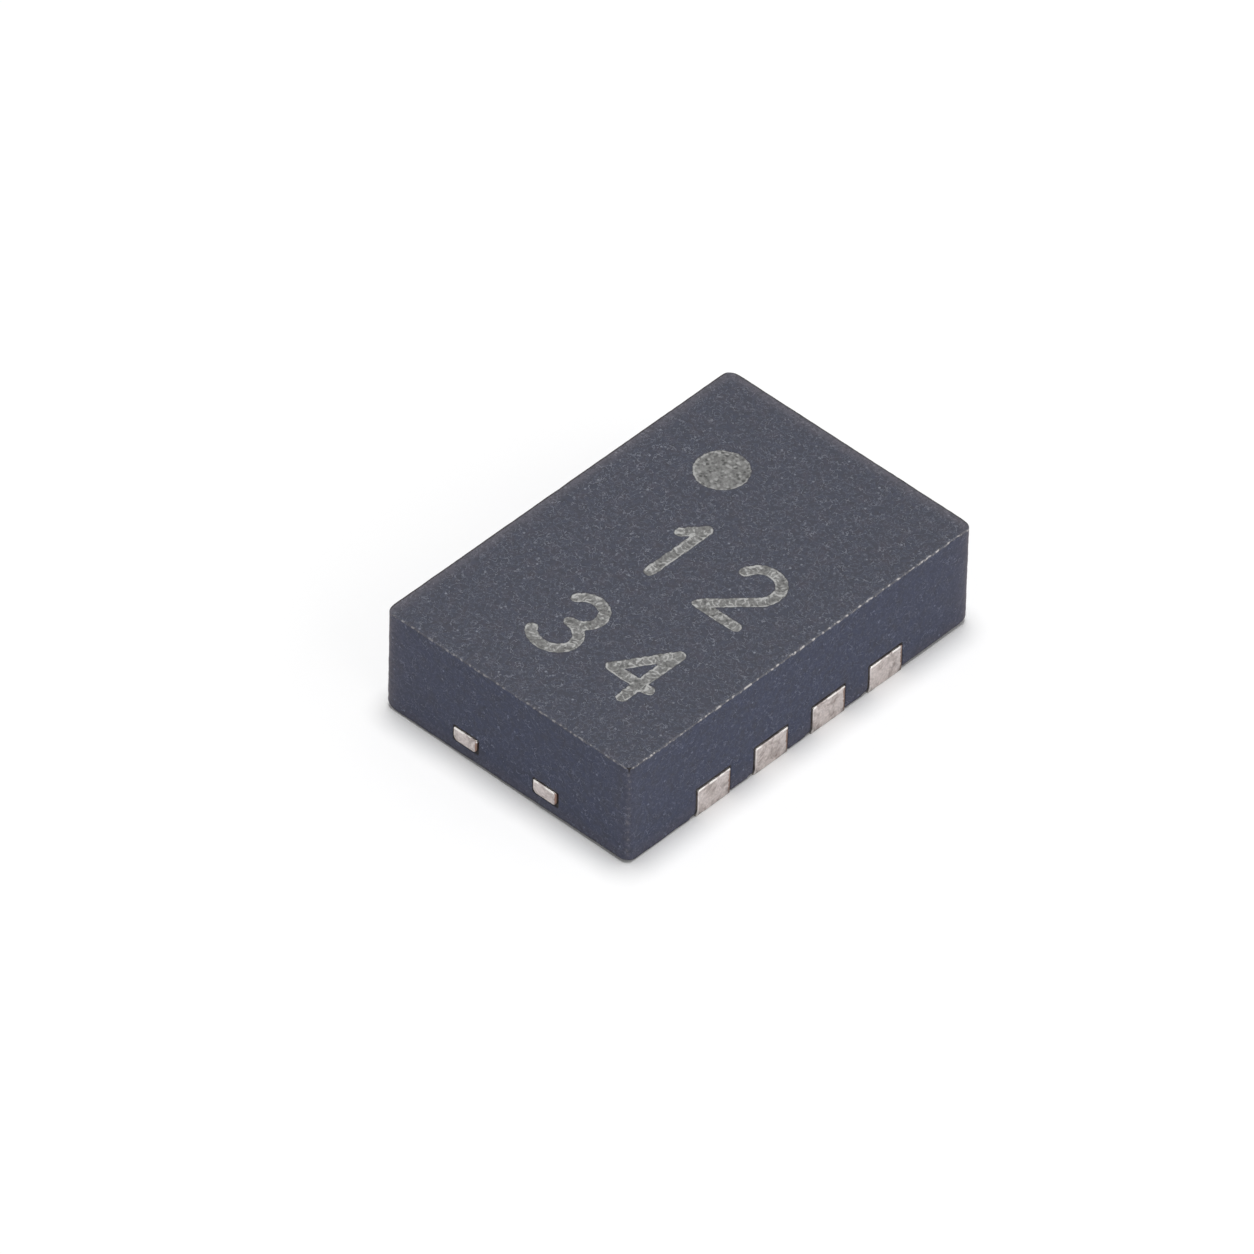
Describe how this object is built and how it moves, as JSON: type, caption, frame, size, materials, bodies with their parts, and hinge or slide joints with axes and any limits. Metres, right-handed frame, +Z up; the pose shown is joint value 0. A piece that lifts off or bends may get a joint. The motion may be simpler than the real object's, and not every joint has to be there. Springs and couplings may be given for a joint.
{
  "type": "dual flat no-lead chip package",
  "caption": "Flat moulded chip package with plated terminals along its long sides, an exposed pad underneath and a laser dot at the first terminal; solders flat onto a circuit board.",
  "frame": {"origin": "on the board plane, under the middle of the package", "axes": "+X across the terminal rows towards terminals 5 to 8, +Y along the rows towards the end with the laser dot, +Z up from the board"},
  "size_m": [0.002, 0.003, 0.0008],
  "materials": {
    "mould_compound": "silica-filled epoxy, matte moulded top and saw-cut sides, dark slate grey",
    "plated_copper": "etched copper with satin tin plating, warm silver, saw-cut at the package faces",
    "die_adhesive": "cured silver-filled adhesive, satin",
    "silicon": "polished silicon, dark grey",
    "bond_wire": "drawn gold wire"
  },
  "bodies": {
    "root": {"mould_body": "mould_compound", "die_pad": "plated_copper", "die_attach": "die_adhesive", "silicon_die": "silicon", "terminal_1": "plated_copper", "terminal_2": "plated_copper", "terminal_3": "plated_copper", "terminal_4": "plated_copper", "terminal_5": "plated_copper", "terminal_6": "plated_copper", "terminal_7": "plated_copper", "terminal_8": "plated_copper", "bond_wire_1": "bond_wire", "bond_wire_2": "bond_wire", "bond_wire_3": "bond_wire", "bond_wire_4": "bond_wire", "bond_wire_5": "bond_wire", "bond_wire_6": "bond_wire", "bond_wire_7": "bond_wire", "bond_wire_8": "bond_wire"}
  },
  "joints": []
}
